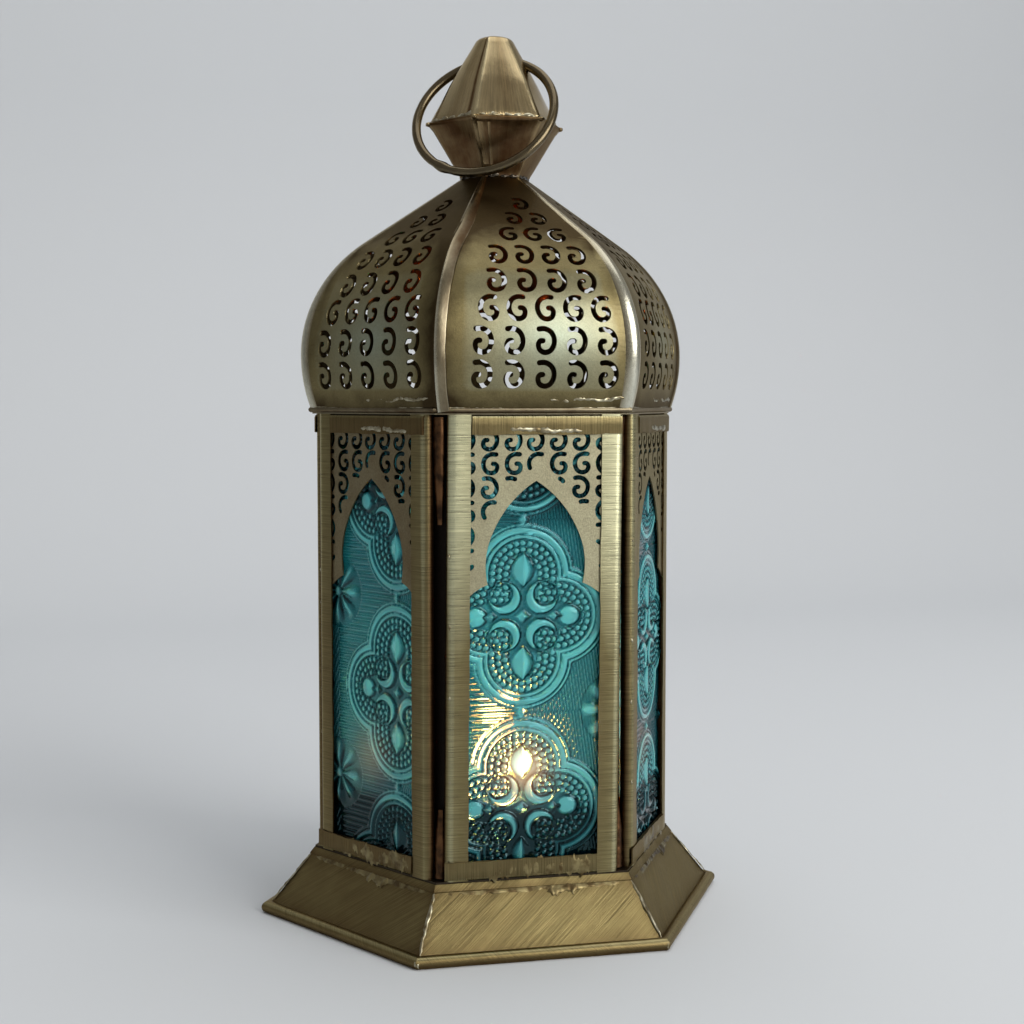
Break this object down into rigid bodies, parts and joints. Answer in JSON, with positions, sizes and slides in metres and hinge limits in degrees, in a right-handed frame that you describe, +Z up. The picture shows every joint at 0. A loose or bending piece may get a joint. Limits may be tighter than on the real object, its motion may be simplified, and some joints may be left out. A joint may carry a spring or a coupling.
{
  "type": "ramadan fanous lantern",
  "caption": "Six-sided brass fanous lantern with teal pressed glass panes behind pierced arches, a hinged door, a pierced onion dome, a finial with a carrying ring and a tea light inside",
  "frame": {"origin": "on the table under the centre of the six-sided plinth", "axes": "+Z up, -Y out of the front pane, +X towards the hinge corner"},
  "size_m": [0.1648, 0.1428, 0.3],
  "materials": {
    "frame_brass": "brushed antique brass with dark patina in the folds",
    "dome_brass": "mottled matte antique brass with brighter ribs",
    "plinth_brass": "diagonally brushed antique brass",
    "fret_brass": "sandy-grained antique brass sheet",
    "pressed_glass": "teal glass pressed in relief",
    "solder": "browned soft solder",
    "pin_steel": "plain drawn wire",
    "cup_aluminium": "thin pressed cup",
    "wax": "candle wax",
    "wick": "charred cotton"
  },
  "bodies": {
    "lantern": {"plinth_front": "plinth_brass", "gore_front": "dome_brass", "plinth_front_right": "plinth_brass", "gore_front_right": "dome_brass", "plinth_back_right": "plinth_brass", "gore_back_right": "dome_brass", "plinth_back": "plinth_brass", "gore_back": "dome_brass", "plinth_back_left": "plinth_brass", "gore_back_left": "dome_brass", "plinth_front_left": "plinth_brass", "gore_front_left": "dome_brass", "floor_plate": "plinth_brass", "dome_rim": "dome_brass", "dome_seams": "dome_brass", "front_stile_right": "frame_brass", "front_stile_left": "frame_brass", "front_rails": "frame_brass", "front_glass": "pressed_glass", "front_fret": "fret_brass", "front_right_stile_right": "frame_brass", "front_right_stile_left": "frame_brass", "front_right_rails": "frame_brass", "front_right_glass": "pressed_glass", "front_right_fret": "fret_brass", "back_stile_right": "frame_brass", "back_stile_left": "frame_brass", "back_rails": "frame_brass", "back_glass": "pressed_glass", "back_fret": "fret_brass", "back_left_stile_right": "frame_brass", "back_left_stile_left": "frame_brass", "back_left_rails": "frame_brass", "back_left_glass": "pressed_glass", "back_left_fret": "fret_brass", "front_left_stile_right": "frame_brass", "front_left_stile_left": "frame_brass", "front_left_rails": "frame_brass", "front_left_glass": "pressed_glass", "front_left_fret": "fret_brass", "corner_solder": "solder", "finial_lower": "dome_brass", "finial_upper": "dome_brass", "hinge_knuckle_lower": "frame_brass", "hinge_knuckle_upper": "frame_brass", "latch_lug": "frame_brass", "latch_stud": "frame_brass", "hinge_pin": "pin_steel"},
    "door": {"door_stile_left": "frame_brass", "door_stile_right": "frame_brass", "door_rails": "frame_brass", "door_glass": "pressed_glass", "door_fret": "fret_brass", "hinge_knuckle_door": "frame_brass"},
    "ring": {"carrying_ring": "frame_brass"},
    "latch": {"latch_button": "frame_brass"},
    "tea_light": {"tea_light_cup": "cup_aluminium", "tea_light_wax": "wax", "tea_light_wick": "wick"}
  },
  "joints": [
    {"name": "door_hinge", "type": "hinge", "parent": "lantern", "child": "door", "pos_m": [0.06085, 0, 0.0971], "axis": [0, 0, -1], "range_deg": [0, 120]},
    {"name": "ring_swing", "type": "hinge", "parent": "lantern", "child": "ring", "pos_m": [0, 0, 0.2907], "axis": [-0.866, 0.5, 0], "range_deg": [0, 297]},
    {"name": "latch_turn", "type": "hinge", "parent": "lantern", "child": "latch", "pos_m": [0.0312, 0.05404, 0.097], "axis": [-0.5, -0.866, 0], "range_deg": [-95, 95]},
    {"name": "tea_light_lift", "type": "slide", "parent": "lantern", "child": "tea_light", "axis": [0, 0, 1], "range_m": [0, 0.06]}
  ]
}
